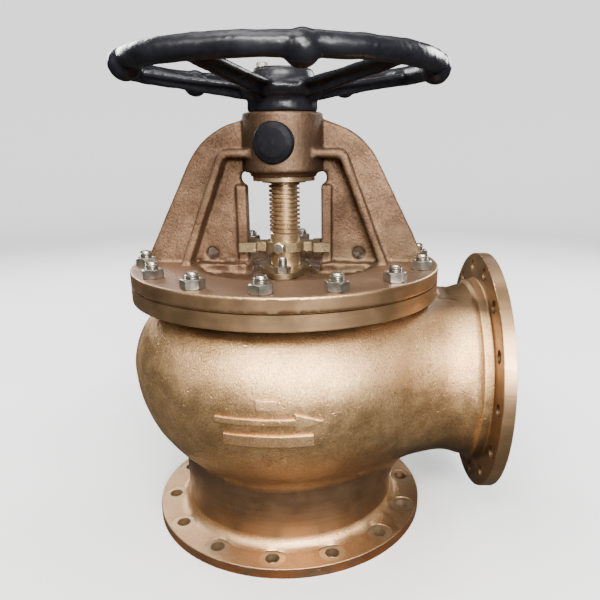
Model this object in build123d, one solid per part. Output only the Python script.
from build123d import *
import math
import os

os.makedirs("parts", exist_ok=True)

# Angle-pattern seacock (screw-down stop valve), cast bronze, rising stem.
# Millimetres. +Z runs up the stem, +X points to the outlet, and the origin is the
# centre of the inlet flange's face.

# ---- driving dimensions ----
BOLT_COUNT = 14             # holes in each flange
BOLT_CLOCK = -93.9          # direction of the first hole, degrees from +X

INLET_R = 187.5
INLET_T = 14.0
INLET_PCD = 335.0
INLET_HOLE_R = 9.0
SPOT_FACE_R = 16.5
SPOT_FACE_DEPTH = 0.6
NECK_R = 146.0
NECK_TOP = 102.5
INLET_BORE_R = 125.0
SEAT_POCKET_R = 137.0
SEAT_POCKET_Z = 103.0
SEAT_LAND_Z = 113.0
FLOOR_R = 140.3             # where the chamber's floor meets the seat's land

BOWL_Z = 225.0              # height of the bowl's widest circle
BOWL_R = 203.0
LOWER_ARC_R = 160.0
UPPER_ARC_R = 90.0
BOWL_WALL = 12.0
UNDER_FLANGE_R = 163.0
UNDER_FLANGE_Z = 299.5
TOP_OPENING_R = 150.0

TOP_FLANGE_R = 199.0
TOP_FLANGE_Z = 313.5
JOINT_Z = 332.0
GASKET_T = 1.5
BONNET_TOP_Z = 351.0
STUD_PCD = 360.0

OUTLET_X = 271.0
OUTLET_Z = 200.5
OUTLET_R = 159.0
OUTLET_T = 15.5
OUTLET_PCD = 284.0
OUTLET_HOLE_R = 8.5
OUTLET_BORE_R = 100.0
OUTLET_BORE_LENGTH = 60.0
OUTLET_CAST_R = 98.0
OUTLET_CAST_X = 150.0
BRANCH_R = 110.5
SHOULDER_X = 150.0

STUD_R = 8.0
STUD_TOP_Z = 370.3
STUD_BOTTOM_Z = 316.0
NUT_AF = 24.0
NUT_H = 11.0

STEM_R = 19.5
THREAD_R = 20.0
THREAD_ROOT_R = 16.6
THREAD_PITCH = 5.5
THREAD_START_Z = 390.0
THREAD_TURNS = 21
STEM_BOTTOM_Z = 148.0
GROOVE_R = 15.0
GROOVE_Z = (160.0, 168.0)
RUN_CLEARANCE = 0.05        # radial clearance of every running fit

HUB_R = 50.0
HUB_TOP_Z = 537.0
HUB_BOTTOM_Z = 466.0
HUB_LIP_R = 42.0
HUB_LIP_Z = 461.0
CHAMBER_R = 36.0
CHAMBER_TOP_Z = 496.0
JOURNAL_R = 28.0
COLLAR_R = 35.0
COLLAR_Z = (480.0, 492.0)
SLEEVE_BOTTOM_Z = 453.5
SLEEVE_TOP_Z = 574.0
SLEEVE_SEAT_R = 26.0

YOKE_HALF_WEB = 8.0
YOKE_HALF_LINING = 34.0
RAIL_X = (47.5, 60.5)
RAIL_HALF = 13.0
RAIL_TOP_Z = 451.0
DISH_R = 108.0
DISH_Z = 338.5
BONNET_UNDER_Z = 325.0
STUFFING_R = 44.0
STUFFING_BOTTOM_Z = 247.0
PACKING_R = 30.0
PACKING_BOTTOM_Z = 272.0
GLAND_Z = (340.0, 347.0)
GLAND_STUD_Y = 52.0
GLAND_STUD_R = 6.0

ARM_Z = (366.7, 378.7)
ARM_BOSS_R = 27.0
ARM_TIP_X = 60.0
ARM_HALF_FORK = 21.0
ARM_HALF_BAR = 11.0
ARM_BOLT_CLOCK = -102.5

WHEEL_Z = 587.7
WHEEL_R = 185.0
RIM_R = 12.3
SPOKE_COUNT = 5
SPOKE_CLOCK = -43.0
KNOB_CLOCK = -79.5
KNOB_R = 18.3
KNOB_DROP = 3.7             # knobs hang a little below the rim's centre line
RIM_SEAM = 13.0             # keeps the rim's closing seam clear of knobs and spokes
WHEEL_HUB_BOTTOM_Z = 537.6
WHEEL_HUB_TOP_Z = 587.0

DISC_R = 136.0
DISC_Z = (121.2, 142.0)
SEAT_TOP_Z = 121.0
SEAT_BORE_R = 122.0
DISC_BOSS_R = 46.0
DISC_BOSS_TOP_Z = 178.0
DISC_SOCKET_R = 34.0

BUSH_R = 28.0
BASE_RING_T = 4.0
PACKING_T = 12.0
PACKING_COUNT = 4
GLAND_STUD_BOTTOM_Z = 328.0
GLAND_STUD_TOP_Z = 365.6
GLAND_NUT_AF = 18.0
GLAND_NUT_H = 7.5
NUT_SPIN = 17.0             # each nut is left at its own angle
SHOULDER_R = 24.0
SHOULDER_Z = (180.0, 185.5)
PORT_R = 20.0
PORT_Z = 501.5
PORT_CLOCK = -99.0
PLUG_R = 24.5
LOCK_SCREW_R = 3.0
LOCK_SCREW_Z = 470.0
LOCK_SCREW_CLOCK = 60.0
RETAINER_BOTTOM_Z = 455.7
RETAINER_TOP_Z = 475.8
WHEEL_NUT_Z = (566.0, 576.0)
WHEEL_NUT_BORE = 24.0
COVER_R = 33.0
COVER_SCREW_R = 28.0
COVER_SCREW_CLOCK = 219.0
KEY_X = (23.0, 29.0)
KEY_HALF = 4.0
KEY_Z = (541.0, 563.0)
SET_SCREW_R = 4.0
SET_SCREW_Z = 547.0
SET_SCREW_CLOCK = -97.0
ARM_KEY_HALF = 3.0
ARM_KEY_Y = (16.5, 22.5)
FACE_RING_R = (122.5, 134.0)
FACE_RING_TOP_Z = 127.0
WING_BOTTOM_Z = 104.0
DISC_PIN_Z = 173.5


# ---- helpers ----
def place_polar(radius, degrees, z=0.0):
    angle = math.radians(degrees)
    return Pos(radius * math.cos(angle), radius * math.sin(angle), z)


def cylinder(radius, bottom, top):
    return Pos(0, 0, (bottom + top) / 2) * Cylinder(radius, top - bottom)


def ring(inner, outer, bottom, top):
    return cylinder(outer, bottom, top) - cylinder(inner, bottom, top)


def box(x, y, z):
    """Box from three (low, high) pairs."""
    size = [high - low for low, high in (x, y, z)]
    middle = [(high + low) / 2 for low, high in (x, y, z)]
    return Pos(*middle) * Box(*size)


def turned(points):
    """Solid turned about Z from a closed outline of (radius, height) points."""
    return spin(make_face(Polyline(*points, close=True)))


def spin(face):
    """Solid of a flat half section turned about Z, its closing seam on the -X side."""
    return Rot(0, 0, 180) * revolve(Plane.XZ * face, Axis.Z, 360)


def hex_prism(across_flats, height):
    corner = across_flats / math.sqrt(3)
    return extrude(RegularPolygon(corner, 6), height)


def bolt_circle(piece, count, pcd, z, clock=BOLT_CLOCK):
    """Copies of a piece at each place of a bolt circle about Z."""
    step = 360 / count
    return [place_polar(pcd / 2, clock + k * step, z) * piece for k in range(count)]


def along_x(piece):
    """Stand a piece made about Z onto the outlet's axis."""
    return Pos(0, 0, OUTLET_Z) * Rot(0, 90, 0) * piece


def save(node, shape):
    export_step(shape, f"parts/{node}.step")


def save_group(node, pieces):
    export_step(Compound(children=list(pieces)), f"parts/{node}.step")


# ---- valve body ----
def bowl_section(grow, start_r, end_r, outline):
    """Half section of the bowl. The two arcs are grown outward by grow. The lower one
    starts at start_r, the upper one ends at end_r, and outline closes the section."""
    low_x = BOWL_R - LOWER_ARC_R
    high_x = BOWL_R - UPPER_ARC_R
    low_r = LOWER_ARC_R + grow
    high_r = UPPER_ARC_R + grow
    start = (start_r, BOWL_Z - math.sqrt(low_r**2 - (start_r - low_x)**2))
    end = (end_r, BOWL_Z + math.sqrt(high_r**2 - (end_r - high_x)**2))
    waist = (BOWL_R + grow, BOWL_Z)
    lower = CenterArc((low_x, BOWL_Z), low_r, angle_of(start, low_x), -angle_of(start, low_x))
    upper = CenterArc((high_x, BOWL_Z), high_r, 0, angle_of(end, high_x))
    walls = Polyline(end, *outline, start)
    return make_face([lower, upper, walls])


def angle_of(point, centre_x):
    return math.degrees(math.atan2(point[1] - BOWL_Z, point[0] - centre_x))


def round_corners(face, corners):
    """Fillet a flat section's corners, each given as ((x, y), radius)."""
    for (x, y), radius in corners:
        near = face.vertices().sort_by_distance((x, y, 0))[0]
        face = fillet(near, radius)
    return face


def body_shell():
    """Inlet flange, neck, bowl and top flange, solid."""
    crown = [(UNDER_FLANGE_R, TOP_FLANGE_Z), (TOP_FLANGE_R, TOP_FLANGE_Z),
             (TOP_FLANGE_R, JOINT_Z), (0, JOINT_Z)]
    foot = [(0, 0), (INLET_R, 0), (INLET_R, INLET_T), (NECK_R, INLET_T)]
    face = bowl_section(0, NECK_R, UNDER_FLANGE_R, crown + foot)
    face = round_corners(face, [
        ((NECK_R, INLET_T), 14),
        ((NECK_R, NECK_TOP), 9),
        ((UNDER_FLANGE_R, TOP_FLANGE_Z), 5),
        ((INLET_R, INLET_T), 1.2),
        ((INLET_R, 0), 0.8),
        ((TOP_FLANGE_R, TOP_FLANGE_Z), 1.2),
    ])
    return spin(face)


def outlet_branch():
    """Outlet neck, its collar and its flange, solid, made about Z from the chamber out."""
    back = OUTLET_X - OUTLET_T
    points = [(0, 190), (BRANCH_R, 190), (BRANCH_R, 212), (116, 230), (118, 240),
              (123, 244), (123, back), (OUTLET_R, back), (OUTLET_R, OUTLET_X), (0, OUTLET_X)]
    face = make_face(Polyline(*points, close=True))
    face = round_corners(face, [((123, back), 3), ((123, 244), 2), ((OUTLET_R, back), 1.2),
                                ((OUTLET_R, OUTLET_X), 0.8), ((BRANCH_R, 212), 30)])
    return along_x(spin(face))


def outlet_shoulder():
    """Where the branch swells into the bowl and the inlet neck: ovals along X, each given
    as (x, half width, lowest z, highest z)."""
    low = OUTLET_Z - BRANCH_R
    high = OUTLET_Z + BRANCH_R
    stations = [
        (112, 152, low - 30, high - 8),
        (SHOULDER_X, 137, low - 11, high - 7),
        (168, 122, low - 1, high - 5),
        (186, 115, low - 0.5, high - 1.5),
        (202, 112, low - 1.5, high + 1.5),
        (218, 105, low + 5, high - 5),
    ]
    ovals = []
    for x, half_width, z_low, z_high in stations:
        plane = Plane(origin=(x, 0, (z_low + z_high) / 2), x_dir=(0, 1, 0), z_dir=(1, 0, 0))
        ovals.append(plane * Ellipse(half_width, (z_high - z_low) / 2))
    return loft(ovals)


def flow_cavities():
    """What is hollow inside the casting: the bore, seat pocket and chamber in one turned
    piece, then the cast passage and the machined bore of the outlet."""
    pocket = [(TOP_OPENING_R, JOINT_Z + 1), (0, JOINT_Z + 1), (0, -1), (INLET_BORE_R, -1),
              (INLET_BORE_R, SEAT_POCKET_Z), (SEAT_POCKET_R, SEAT_POCKET_Z), (SEAT_POCKET_R, SEAT_LAND_Z)]
    chamber = spin(bowl_section(-BOWL_WALL, FLOOR_R, TOP_OPENING_R, pocket))
    cast = along_x(cylinder(OUTLET_CAST_R, OUTLET_CAST_X, OUTLET_X + 1))
    bore = along_x(cylinder(OUTLET_BORE_R, OUTLET_X - OUTLET_BORE_LENGTH, OUTLET_X + 1))
    return [chamber, cast, bore]


def flow_arrow():
    """Raised arrow on the front of the bowl, pointing to the outlet, with two plain pads."""
    shaft = [(-66, 217.5), (26, 217.5), (26, 223), (52, 213.5), (26, 207), (26, 211.5), (-66, 211.5)]
    prism = extrude(Plane.XZ.offset(150) * make_face(Polyline(*shaft, close=True)), 60)
    upper_pad = Pos(-8, -180, 233.5) * Box(24, 60, 13)
    lower_pad = Pos(-8, -180, 190) * Box(100, 60, 15)
    skin = bowl_section(2.4, 145, UNDER_FLANGE_R, [(UNDER_FLANGE_R, 310), (100, 310), (100, 100)])
    skin = spin(skin)
    return [skin & prism, skin & upper_pad, skin & lower_pad]


def valve_body():
    body = body_shell() + outlet_shoulder() + outlet_branch()
    for relief in flow_arrow():
        body = body + relief
    for hollow in flow_cavities():
        body = body - hollow
    inlet_hole = Cylinder(INLET_HOLE_R, 60)
    spot = Pos(0, 0, 5 - SPOT_FACE_DEPTH) * Cylinder(SPOT_FACE_R, 10)
    stud_hole = cylinder(STUD_R, STUD_BOTTOM_Z - JOINT_Z, 1)
    outlet_hole = Cylinder(OUTLET_HOLE_R, 80)
    cuts = bolt_circle(inlet_hole, BOLT_COUNT, INLET_PCD, 0)
    cuts += bolt_circle(spot, BOLT_COUNT, INLET_PCD, INLET_T)
    cuts += bolt_circle(stud_hole, BOLT_COUNT, STUD_PCD, JOINT_Z)
    cuts += [along_x(hole) for hole in bolt_circle(outlet_hole, BOLT_COUNT, OUTLET_PCD, OUTLET_X, 90)]
    for cut in cuts:
        body = body - cut
    return body


def seat_ring():
    pocket = ring(SEAT_BORE_R, SEAT_POCKET_R, SEAT_POCKET_Z, SEAT_LAND_Z)
    land = ring(SEAT_BORE_R, SEAT_POCKET_R - 3, SEAT_LAND_Z, SEAT_TOP_Z)
    return pocket + land


# ---- bonnet and yoke ----
def yoke_outline(corners, radius):
    """Symmetric outline in the XZ plane from its right-hand corners, bottom to top."""
    points = corners + [(-x, z) for x, z in reversed(corners)]
    face = make_face(Polyline(*points, close=True))
    tops = [((x, z), radius) for x, z in (corners[1], (-corners[1][0], corners[1][1]))]
    return round_corners(face, tops)


def slab(face, half_depth):
    """Plate of a flat XZ section, centred on the stem's plane."""
    return extrude(Plane.XZ * face, half_depth, both=True)


def yoke_frame():
    """Web plate, the deeper lining round its opening, and the two guide rails."""
    web = slab(yoke_outline([(188.5, DISH_Z + 6), (102.3, 514), (40, 532)], 95), YOKE_HALF_WEB)
    window = box((-RAIL_X[0], RAIL_X[0]), (-20, 20), (DISH_Z - 5, RAIL_TOP_Z))
    notch = box((-46, 46), (-20, 20), (RAIL_TOP_Z - 1, HUB_BOTTOM_Z))
    web = web - window - notch
    for side in (-1, 1):
        scoop = Pos(side * 45.5, 0, 459.5) * Rot(90, 0, 0) * Cylinder(9.5, 40)
        drain = Pos(side * 96, 0, 363) * Rot(90, 0, 0) * Cylinder(7.5, 40)
        web = web - scoop - drain
    outer = yoke_outline([(137.6, DISH_Z), (77.5, 494)], 14)
    inner = yoke_outline([(126.9, DISH_Z - 1), (70.6, 484)], 8)
    lining = slab(outer, YOKE_HALF_LINING) - slab(inner, YOKE_HALF_LINING + 1)
    frame = web + lining
    for side in (-1, 1):
        rail = box(RAIL_X, (-RAIL_HALF, RAIL_HALF), (DISH_Z, RAIL_TOP_Z))
        rail = chamfer(rail.edges().group_by(Axis.Z)[-1], 2)
        plinth = box((46, 128), (-21, 21), (BONNET_UNDER_Z + 5, 351.5))
        plinth = fillet(plinth.edges().filter_by(Axis.Z), 5)
        piece = rail + plinth
        frame = frame + (piece if side > 0 else mirror(piece, Plane.YZ))
    return frame


def bonnet_plate():
    joint = JOINT_Z + GASKET_T
    points = [(0, STUFFING_BOTTOM_Z), (STUFFING_R, STUFFING_BOTTOM_Z), (STUFFING_R, BONNET_UNDER_Z),
              (TOP_OPENING_R - 0.5, BONNET_UNDER_Z), (TOP_OPENING_R - 0.5, joint), (TOP_FLANGE_R, joint),
              (TOP_FLANGE_R, BONNET_TOP_Z), (DISH_R + 7, BONNET_TOP_Z), (DISH_R, DISH_Z), (0, DISH_Z)]
    face = make_face(Polyline(*points, close=True))
    face = round_corners(face, [
        ((STUFFING_R, BONNET_UNDER_Z), 12),
        ((STUFFING_R, STUFFING_BOTTOM_Z), 3),
        ((TOP_FLANGE_R, BONNET_TOP_Z), 1.5),
        ((DISH_R + 7, BONNET_TOP_Z), 3),
        ((DISH_R, DISH_Z), 6),
    ])
    return spin(face)


def yoke_hub():
    face = make_face(Polyline((0, HUB_LIP_Z), (HUB_LIP_R, HUB_LIP_Z), (HUB_LIP_R, HUB_BOTTOM_Z),
                              (HUB_R, HUB_BOTTOM_Z), (HUB_R, HUB_TOP_Z), (0, HUB_TOP_Z), close=True))
    face = round_corners(face, [((HUB_R, HUB_BOTTOM_Z), 3), ((HUB_R, HUB_TOP_Z), 1.5)])
    return spin(face)


def radial_cylinder(radius, start, stop, z, clock):
    """Cylinder lying on a radius, from start to stop along it."""
    rod = Pos((start + stop) / 2, 0, z) * Rot(0, 90, 0) * Cylinder(radius, stop - start)
    return Rot(0, 0, clock) * rod


def bonnet_yoke():
    bonnet = bonnet_plate() + yoke_frame() + yoke_hub()
    cuts = [
        cylinder(BUSH_R, STUFFING_BOTTOM_Z - 1, PACKING_BOTTOM_Z),
        cylinder(PACKING_R, PACKING_BOTTOM_Z, DISH_Z + 20),
        cylinder(CHAMBER_R, HUB_LIP_Z - 10, CHAMBER_TOP_Z),
        cylinder(JOURNAL_R + RUN_CLEARANCE, CHAMBER_TOP_Z - 1, HUB_TOP_Z + 1),
        radial_cylinder(PORT_R, CHAMBER_R - 1, HUB_R + 5, PORT_Z, PORT_CLOCK),
        radial_cylinder(LOCK_SCREW_R, CHAMBER_R - 1, HUB_R + 5, LOCK_SCREW_Z, LOCK_SCREW_CLOCK),
    ]
    stud_hole = cylinder(STUD_R + 1, -30, 30)
    cuts += bolt_circle(stud_hole, BOLT_COUNT, STUD_PCD, BONNET_TOP_Z)
    gland_hole = cylinder(GLAND_STUD_R, GLAND_STUD_BOTTOM_Z, DISH_Z + 1)
    cuts += [Pos(0, side * GLAND_STUD_Y, 0) * gland_hole for side in (-1, 1)]
    for cut in cuts:
        bonnet = bonnet - cut
    return bonnet


def bonnet_gasket():
    return ring(TOP_OPENING_R, STUD_PCD / 2 - STUD_R - 1.5, JOINT_Z, JOINT_Z + GASKET_T)


# ---- fasteners ----
def stud(radius, bottom, top):
    return chamfer(cylinder(radius, bottom, top).edges(), radius / 8)


def hex_nut(across_flats, height, bore):
    """Hexagon nut standing on z = 0, with both ends chamfered round."""
    corner = across_flats / math.sqrt(3)
    edge = (corner - across_flats / 2) / math.sqrt(3)
    flat = across_flats / 2
    barrel = turned([(0, 0), (flat, 0), (corner, edge), (corner, height - edge), (flat, height), (0, height)])
    return (hex_prism(across_flats, height) & barrel) - cylinder(bore, -1, height + 1)


def bonnet_studs():
    return bolt_circle(stud(STUD_R, STUD_BOTTOM_Z, STUD_TOP_Z), BOLT_COUNT, STUD_PCD, 0)


def bonnet_nuts():
    nut = hex_nut(NUT_AF, NUT_H, STUD_R)
    spun = []
    for k, place in enumerate(bolt_circle(Pos(0, 0, 0), BOLT_COUNT, STUD_PCD, BONNET_TOP_Z)):
        spun.append(place * Rot(0, 0, NUT_SPIN * k) * nut)
    return spun


def gland_studs():
    piece = stud(GLAND_STUD_R, GLAND_STUD_BOTTOM_Z, GLAND_STUD_TOP_Z)
    return [Pos(0, side * GLAND_STUD_Y, 0) * piece for side in (-1, 1)]


def gland_nuts():
    nut = hex_nut(GLAND_NUT_AF, GLAND_NUT_H, GLAND_STUD_R)
    return [Pos(0, side * GLAND_STUD_Y, GLAND_Z[1]) * Rot(0, 0, 30) * nut for side in (-1, 1)]


# ---- stem seal ----
def back_seat_bush():
    return ring(STEM_R + RUN_CLEARANCE, BUSH_R, STUFFING_BOTTOM_Z, PACKING_BOTTOM_Z)


def packing_base_ring():
    return ring(STEM_R + 0.1, PACKING_R, PACKING_BOTTOM_Z, PACKING_BOTTOM_Z + BASE_RING_T)


def packing_rings():
    first = PACKING_BOTTOM_Z + BASE_RING_T
    return [ring(STEM_R + RUN_CLEARANCE, PACKING_R, first + k * PACKING_T, first + (k + 1) * PACKING_T)
            for k in range(PACKING_COUNT)]


def gland_follower():
    """Two-bolt oval gland with the nose that presses the packing."""
    circles = Circle(34) + Pos(0, GLAND_STUD_Y) * Circle(15) + Pos(0, -GLAND_STUD_Y) * Circle(15)
    oval = make_hull(circles.edges())
    plate = Pos(0, 0, GLAND_Z[0]) * extrude(oval, GLAND_Z[1] - GLAND_Z[0])
    plate = chamfer(plate.edges().group_by(Axis.Z)[-1], 0.8)
    nose_bottom = PACKING_BOTTOM_Z + BASE_RING_T + PACKING_COUNT * PACKING_T
    gland = plate + cylinder(PACKING_R - 0.1, nose_bottom, GLAND_Z[0] + 1)
    gland = gland - cylinder(STEM_R + 0.1, nose_bottom - 1, GLAND_Z[1] + 1)
    gland = gland - cylinder(STEM_R + 2, GLAND_Z[1] - 3, GLAND_Z[1] + 1)
    for side in (-1, 1):
        gland = gland - Pos(0, side * GLAND_STUD_Y, 0) * cylinder(GLAND_STUD_R + 0.5, 330, 360)
    return gland


# ---- yoke hub fittings ----
def upper_thrust_washer():
    return ring(JOURNAL_R + 0.3, CHAMBER_R - 0.4, COLLAR_Z[1] + 0.1, CHAMBER_TOP_Z)


def lower_thrust_washer():
    return ring(JOURNAL_R + 0.3, CHAMBER_R - 0.4, RETAINER_TOP_Z, COLLAR_Z[0] - 0.2)


def sleeve_retainer():
    flange = ring(JOURNAL_R + 0.3, HUB_LIP_R - 2.5, RETAINER_BOTTOM_Z, HUB_LIP_Z)
    nose = ring(JOURNAL_R + 0.3, CHAMBER_R, HUB_LIP_Z, RETAINER_TOP_Z)
    return flange + nose


def retainer_lock_screw():
    return radial_cylinder(LOCK_SCREW_R, CHAMBER_R, HUB_R - 1, LOCK_SCREW_Z, LOCK_SCREW_CLOCK)


def hub_port_plug():
    """Domed rubber plug in the hub's grease port, its rim bedded on the round hub."""
    crown = turned([(0, 0), (PLUG_R, 0), (PLUG_R, 11), (PLUG_R - 1.5, 13), (PLUG_R - 8, 15.5), (0, 17)])
    head = Pos(HUB_R - 8.5, 0, 0) * Rot(0, 90, 0) * crown
    head = head - cylinder(HUB_R, -40, 40)
    shank = Pos((CHAMBER_R + 1 + HUB_R + 2) / 2, 0, 0) * Rot(0, 90, 0) * Cylinder(PORT_R, HUB_R + 1 - CHAMBER_R)
    return Rot(0, 0, PORT_CLOCK) * Pos(0, 0, PORT_Z) * (head + shank)


# ---- what the handwheel turns ----
def yoke_sleeve():
    """Stem nut: journal, thrust collar, keyed seat for the wheel, and a threaded top."""
    bottom, top = SLEEVE_BOTTOM_Z, SLEEVE_TOP_Z
    sleeve = cylinder(JOURNAL_R, bottom, HUB_TOP_Z) + cylinder(COLLAR_R, *COLLAR_Z)
    sleeve = sleeve + cylinder(SLEEVE_SEAT_R, HUB_TOP_Z, WHEEL_NUT_Z[0]) + cylinder(WHEEL_NUT_BORE, WHEEL_NUT_Z[0], top)
    sleeve = sleeve - cylinder(THREAD_R + RUN_CLEARANCE, bottom - 1, HUB_TOP_Z)
    sleeve = sleeve - cylinder(THREAD_R + 1.2, HUB_TOP_Z - 1, top + 1)
    return sleeve - key_slot()


def key_slot():
    return box((KEY_X[0], SLEEVE_SEAT_R + 5), (-KEY_HALF, KEY_HALF), KEY_Z)


def wheel_key():
    return box(KEY_X, (-KEY_HALF, KEY_HALF), KEY_Z)


def wheel_hub():
    points = [(0, 537.6), (43, 537.6), (43, 552.5), (47, 554.5), (51, 560), (51, 567), (44.5, 572),
              (41, 575), (38.5, 585), (36.5, 587), (0, 587)]
    return turned(points)


def spoke():
    """One arm along +X, from inside the hub to inside the rim, as an oval section."""
    stations = [(36, 565.5, 14, 9.5), (80, 570.5, 12.5, 8.5), (130, 577.5, 11, 7.5), (182, 586, 11, 7.5)]
    sections = []
    for radius, z, half_width, half_height in stations:
        plane = Plane(origin=(radius, 0, z), x_dir=(0, 1, 0), z_dir=(1, 0, 0))
        sections.append(plane * Ellipse(half_width, half_height))
    return loft(sections)


def handwheel():
    wheel = wheel_hub() + Pos(0, 0, WHEEL_Z) * Rot(0, 0, RIM_SEAM) * Torus(WHEEL_R, RIM_R)
    for k in range(SPOKE_COUNT):
        turn = k * 360 / SPOKE_COUNT
        wheel = wheel + Rot(0, 0, SPOKE_CLOCK + turn) * spoke()
        knob = Pos(WHEEL_R, 0, WHEEL_Z - KNOB_DROP) * Sphere(KNOB_R)
        wheel = wheel + Rot(0, 0, KNOB_CLOCK + turn) * knob
    wheel = wheel - cylinder(SLEEVE_SEAT_R, 530, 600) - cylinder(COVER_R, WHEEL_NUT_Z[0], 600)
    wheel = wheel - box((0, KEY_X[1]), (-KEY_HALF, KEY_HALF), (530, WHEEL_NUT_Z[0] + 1))
    return wheel - radial_cylinder(SET_SCREW_R, 20, 60, SET_SCREW_Z, SET_SCREW_CLOCK)


def wheel_nut():
    nut = ring(WHEEL_NUT_BORE, COVER_R - 1.5, WHEEL_NUT_Z[0] + 0.2, WHEEL_NUT_Z[1])
    for turn in (0, 90):
        slot = Rot(0, 0, turn) * box((-40, 40), (-3, 3), (WHEEL_NUT_Z[1] - 4, WHEEL_NUT_Z[1] + 1))
        nut = nut - slot
    return nut - place_polar(COVER_SCREW_R, COVER_SCREW_CLOCK) * cylinder(2.5, 500, 600)


def stem_cover():
    cover = cylinder(COVER_R - 0.1, WHEEL_HUB_TOP_Z - 4, WHEEL_HUB_TOP_Z + 0.6)
    return cover - place_polar(COVER_SCREW_R, COVER_SCREW_CLOCK) * cylinder(2.5, 500, 600)


def cover_screw():
    seat = WHEEL_HUB_TOP_Z + 0.6
    head = Pos(0, 0, seat) * (hex_prism(12, 5) & turned([(0, 0), (7, 0), (7, 4.3), (5.6, 5), (0, 5)]))
    return place_polar(COVER_SCREW_R, COVER_SCREW_CLOCK) * (head + cylinder(2.5, WHEEL_NUT_Z[0] + 4, seat))


def hub_set_screw():
    screw = radial_cylinder(SET_SCREW_R, SLEEVE_SEAT_R, 42.2, SET_SCREW_Z, SET_SCREW_CLOCK)
    socket = Pos(38, 0, SET_SCREW_Z) * Rot(0, 90, 0) * hex_prism(4, 10)
    return screw - Rot(0, 0, SET_SCREW_CLOCK) * socket


# ---- what the stem carries ----
def stem():
    """Stem with its collar groove, back-seat shoulder and screw. The screw is cut as
    rings at the true pitch."""
    depth = THREAD_R - THREAD_ROOT_R
    flank = depth * math.tan(math.radians(15))
    flat = THREAD_PITCH / 2 - flank
    points = [(0, STEM_BOTTOM_Z), (STEM_R - 2, STEM_BOTTOM_Z), (STEM_R, STEM_BOTTOM_Z + 2),
              (STEM_R, GROOVE_Z[0]), (GROOVE_R, GROOVE_Z[0]), (GROOVE_R, GROOVE_Z[1]),
              (STEM_R, GROOVE_Z[1]), (STEM_R, SHOULDER_Z[0]), (SHOULDER_R, SHOULDER_Z[0] + 1),
              (STEM_R, SHOULDER_Z[1]), (STEM_R, THREAD_START_Z)]
    for k in range(THREAD_TURNS):
        z = THREAD_START_Z + k * THREAD_PITCH
        points += [(THREAD_ROOT_R, z + 0.5), (THREAD_ROOT_R, z + 0.5 + flat),
                   (THREAD_R, z + 0.5 + flat + flank), (THREAD_R, z + 0.5 + 2 * flat + flank)]
    top = THREAD_START_Z + THREAD_TURNS * THREAD_PITCH
    points += [(THREAD_ROOT_R - 1, top + 1.5), (0, top + 1.5)]
    slot = box((-ARM_KEY_HALF, ARM_KEY_HALF), (ARM_KEY_Y[0], STEM_R + 3), ARM_Z)
    return turned(points) - slot


def guide_arm():
    """Arm clamped to the stem. Its forks straddle the rails and stop the stem turning."""
    arm = cylinder(ARM_BOSS_R, *ARM_Z) + box((-46, 46), (-ARM_HALF_BAR, ARM_HALF_BAR), ARM_Z)
    for side in (-1, 1):
        head = box((36, ARM_TIP_X), (-ARM_HALF_FORK, ARM_HALF_FORK), ARM_Z)
        head = fillet(head.edges().filter_by(Axis.Z), 2.5)
        gap = box((46, ARM_TIP_X + 5), (-RAIL_HALF - 0.5, RAIL_HALF + 0.5), (ARM_Z[0] - 1, ARM_Z[1] + 1))
        fork = head - gap
        arm = arm + (fork if side > 0 else mirror(fork, Plane.YZ))
    arm = arm - cylinder(STEM_R, ARM_Z[0] - 1, ARM_Z[1] + 1)
    arm = arm - box((0.8, 2.4), (-40, -STEM_R + 2), (ARM_Z[0] - 1, ARM_Z[1] + 1))
    arm = arm - box((-ARM_KEY_HALF, ARM_KEY_HALF), (STEM_R - 3, ARM_KEY_Y[1]), (ARM_Z[0] - 1, ARM_Z[1] + 1))
    middle = (ARM_Z[0] + ARM_Z[1]) / 2
    return arm - radial_cylinder(4, 10, 40, middle, ARM_BOLT_CLOCK)


def arm_key():
    return box((-ARM_KEY_HALF, ARM_KEY_HALF), ARM_KEY_Y, ARM_Z)


def arm_set_bolt():
    middle = (ARM_Z[0] + ARM_Z[1]) / 2
    shank = radial_cylinder(4, STEM_R + 0.1, ARM_BOSS_R + 1, middle, ARM_BOLT_CLOCK)
    head = Pos(ARM_BOSS_R + 0.2, 0, middle) * Rot(0, 90, 0) * (
        hex_prism(13, 5.5) & turned([(0, 0), (8, 0), (8, 4.6), (6.2, 5.5), (0, 5.5)]))
    return shank + Rot(0, 0, ARM_BOLT_CLOCK) * head


def split_collar():
    whole = ring(GROOVE_R + 0.05, 29, GROOVE_Z[0] + 0.1, GROOVE_Z[1] - 0.1)
    return [whole & box((0.25, 30), (-30, 30), GROOVE_Z), whole & box((-30, -0.25), (-30, 30), GROOVE_Z)]


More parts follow.
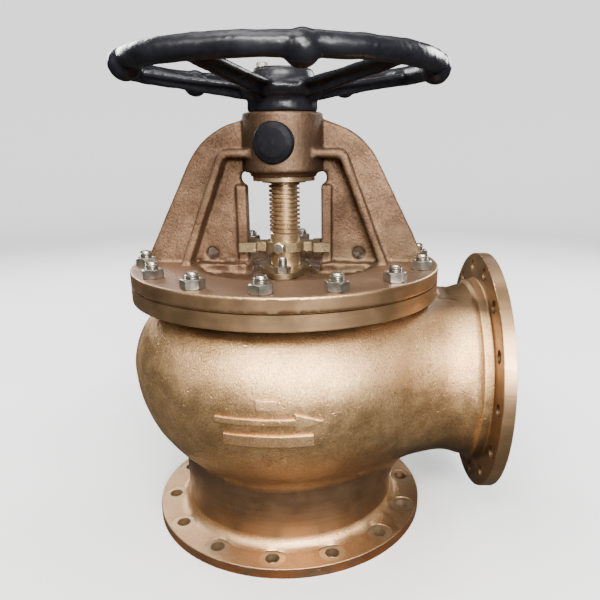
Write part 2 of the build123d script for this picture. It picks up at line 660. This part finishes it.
# ---- the disc ----
def valve_disc():
    """Disc with a socket for the stem's end and four guide wings below."""
    plate_bottom = DISC_Z[0] + 1.3
    points = [(0, plate_bottom), (FACE_RING_R[0], plate_bottom), (FACE_RING_R[0], FACE_RING_TOP_Z),
              (FACE_RING_R[1], FACE_RING_TOP_Z), (FACE_RING_R[1], plate_bottom), (DISC_R, plate_bottom),
              (DISC_R, DISC_Z[1] - 5), (DISC_R - 4, DISC_Z[1]), (DISC_BOSS_R + 14, DISC_Z[1] + 3),
              (DISC_BOSS_R, DISC_Z[1] + 14), (DISC_BOSS_R, DISC_BOSS_TOP_Z), (DISC_SOCKET_R, DISC_BOSS_TOP_Z),
              (DISC_SOCKET_R, STEM_BOTTOM_Z - 0.2), (0, STEM_BOTTOM_Z - 0.2)]
    wing_r = SEAT_BORE_R - 0.7
    wings = box((-wing_r, wing_r), (-3, 3), (WING_BOTTOM_Z, plate_bottom + 1))
    wings = wings + Rot(0, 0, 90) * wings
    wings = wings & cylinder(wing_r, WING_BOTTOM_Z, plate_bottom + 1)
    disc = turned(points) + wings
    return disc - radial_cylinder(2.5, 25, 60, DISC_PIN_Z, 0)


def disc_face_ring():
    return ring(*FACE_RING_R, DISC_Z[0], FACE_RING_TOP_Z)


def disc_nut():
    nut = ring(STEM_R + 0.6, DISC_SOCKET_R, GROOVE_Z[1] + 1, DISC_BOSS_TOP_Z + 1)
    for turn in (45, 135):
        nut = nut - Rot(0, 0, turn) * box((-40, 40), (-3, 3), (DISC_BOSS_TOP_Z - 2, DISC_BOSS_TOP_Z + 2))
    return nut - radial_cylinder(2.5, 25, 60, DISC_PIN_Z, 0)


def disc_lock_pin():
    return radial_cylinder(2.5, 27, DISC_BOSS_R - 0.5, DISC_PIN_Z, 0)


def main():
    single = [
        valve_body, seat_ring, bonnet_gasket, bonnet_yoke, back_seat_bush, packing_base_ring,
        gland_follower, upper_thrust_washer, lower_thrust_washer, sleeve_retainer,
        retainer_lock_screw, hub_port_plug, yoke_sleeve, handwheel, wheel_key, wheel_nut,
        stem_cover, cover_screw, hub_set_screw, stem, guide_arm, arm_key, arm_set_bolt,
        valve_disc, disc_face_ring, disc_nut, disc_lock_pin,
    ]
    groups = [bonnet_studs, bonnet_nuts, gland_studs, gland_nuts, packing_rings, split_collar]
    for make in single:
        save(make.__name__, make())
    for make in groups:
        save_group(make.__name__, make())


main()
